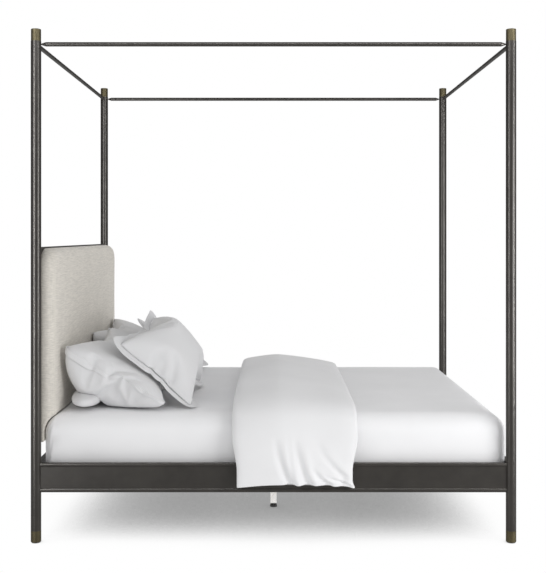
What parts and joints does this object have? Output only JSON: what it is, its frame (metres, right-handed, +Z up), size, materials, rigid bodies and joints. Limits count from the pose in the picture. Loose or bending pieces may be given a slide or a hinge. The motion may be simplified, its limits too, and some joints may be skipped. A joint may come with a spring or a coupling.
{
  "type": "four poster canopy bed",
  "caption": "Slim metal four poster bed with an open rod canopy, upholstered headboard, flat rails with round beads, and made-up bedding.",
  "frame": {"origin": "on the floor at the centre of the four posts", "axes": "+X along the bed towards its foot, the headboard at -X; +Y to the left side of a sleeper lying on their back; +Z up"},
  "size_m": [2.115, 1.721, 2.235],
  "materials": {
    "bronze": "dark bronze powder coat, semi-gloss, fine grain",
    "brass": "aged brass, satin, finely turned",
    "steel": "zinc plated steel, dull",
    "leg_grey": "light grey powder coat, satin",
    "nylon": "black nylon, moulded, matte",
    "birch": "bare birch plywood with a fine straight grain",
    "linen": "oatmeal linen weave with slubs",
    "ticking": "white knitted mattress ticking",
    "sheet_cotton": "white cotton percale, pulled smooth",
    "duvet_cotton": "white cotton, softly creased",
    "pillow_cotton": "white cotton with stitched flanges"
  },
  "bodies": {
    "root": {"head_post_lower_right": "bronze", "head_post_lower_left": "bronze", "foot_post_lower_right": "bronze", "foot_post_lower_left": "bronze", "head_post_upper_right": "bronze", "head_post_upper_left": "bronze", "foot_post_upper_right": "bronze", "foot_post_upper_left": "bronze", "head_cap_right": "brass", "head_cap_left": "brass", "foot_cap_right": "brass", "foot_cap_left": "brass", "head_ferrule_right": "brass", "head_ferrule_left": "brass", "foot_ferrule_right": "brass", "foot_ferrule_left": "brass", "post_glides": "nylon", "post_joiners": "steel", "canopy_rod_right": "bronze", "canopy_rod_foot": "bronze", "canopy_rod_left": "bronze", "canopy_rod_head": "bronze", "canopy_rod_tips": "bronze", "side_rail_right": "bronze", "foot_rail": "bronze", "side_rail_left": "bronze", "head_rail": "bronze", "side_rail_right_beads": "bronze", "foot_rail_beads": "bronze", "side_rail_left_beads": "bronze", "head_rail_beads": "bronze", "frame_brackets": "steel", "frame_bolts": "steel", "slat_ledges": "steel", "slats": "birch", "support_beam_right": "steel", "support_beam_left": "steel", "beam_brackets": "steel", "support_leg_right": "leg_grey", "support_leg_left": "leg_grey", "leg_inserts": "nylon", "headboard_top_rail": "bronze", "headboard_bottom_rail": "bronze", "headboard_back_panel": "bronze", "headboard_board": "birch", "headboard_pad": "linen", "headboard_screws": "steel", "mattress": "ticking", "fitted_sheet": "sheet_cotton", "duvet": "duvet_cotton", "right_back_pillow": "pillow_cotton", "right_middle_sham": "pillow_cotton", "right_front_sham": "pillow_cotton", "left_back_pillow": "pillow_cotton", "left_middle_sham": "pillow_cotton", "left_front_sham": "pillow_cotton"},
    "right_foot_pad": {"leveler_pad_right": "nylon"},
    "left_foot_pad": {"leveler_pad_left": "nylon"},
    "right_foot_stem": {"leveler_stem_right": "steel"},
    "left_foot_stem": {"leveler_stem_left": "steel"}
  },
  "joints": [
    {"name": "right_foot_drop", "type": "slide", "parent": "root", "child": "right_foot_pad", "axis": [0, 0, -1], "range_m": [0, 0.012]},
    {"name": "right_foot_turn", "type": "hinge", "parent": "right_foot_pad", "child": "right_foot_stem", "pos_m": [0, -0.277, 0.03], "axis": [0, 0, -1], "range_deg": [0, 2880]},
    {"name": "left_foot_drop", "type": "slide", "parent": "root", "child": "left_foot_pad", "axis": [0, 0, -1], "range_m": [0, 0.012]},
    {"name": "left_foot_turn", "type": "hinge", "parent": "left_foot_pad", "child": "left_foot_stem", "pos_m": [0, 0.277, 0.03], "axis": [0, 0, -1], "range_deg": [0, 2880]}
  ],
  "couplings": [
    {"joint": "right_foot_turn", "follows": "right_foot_drop", "rad_per_m": 4188.8},
    {"joint": "left_foot_turn", "follows": "left_foot_drop", "rad_per_m": 4188.8}
  ]
}
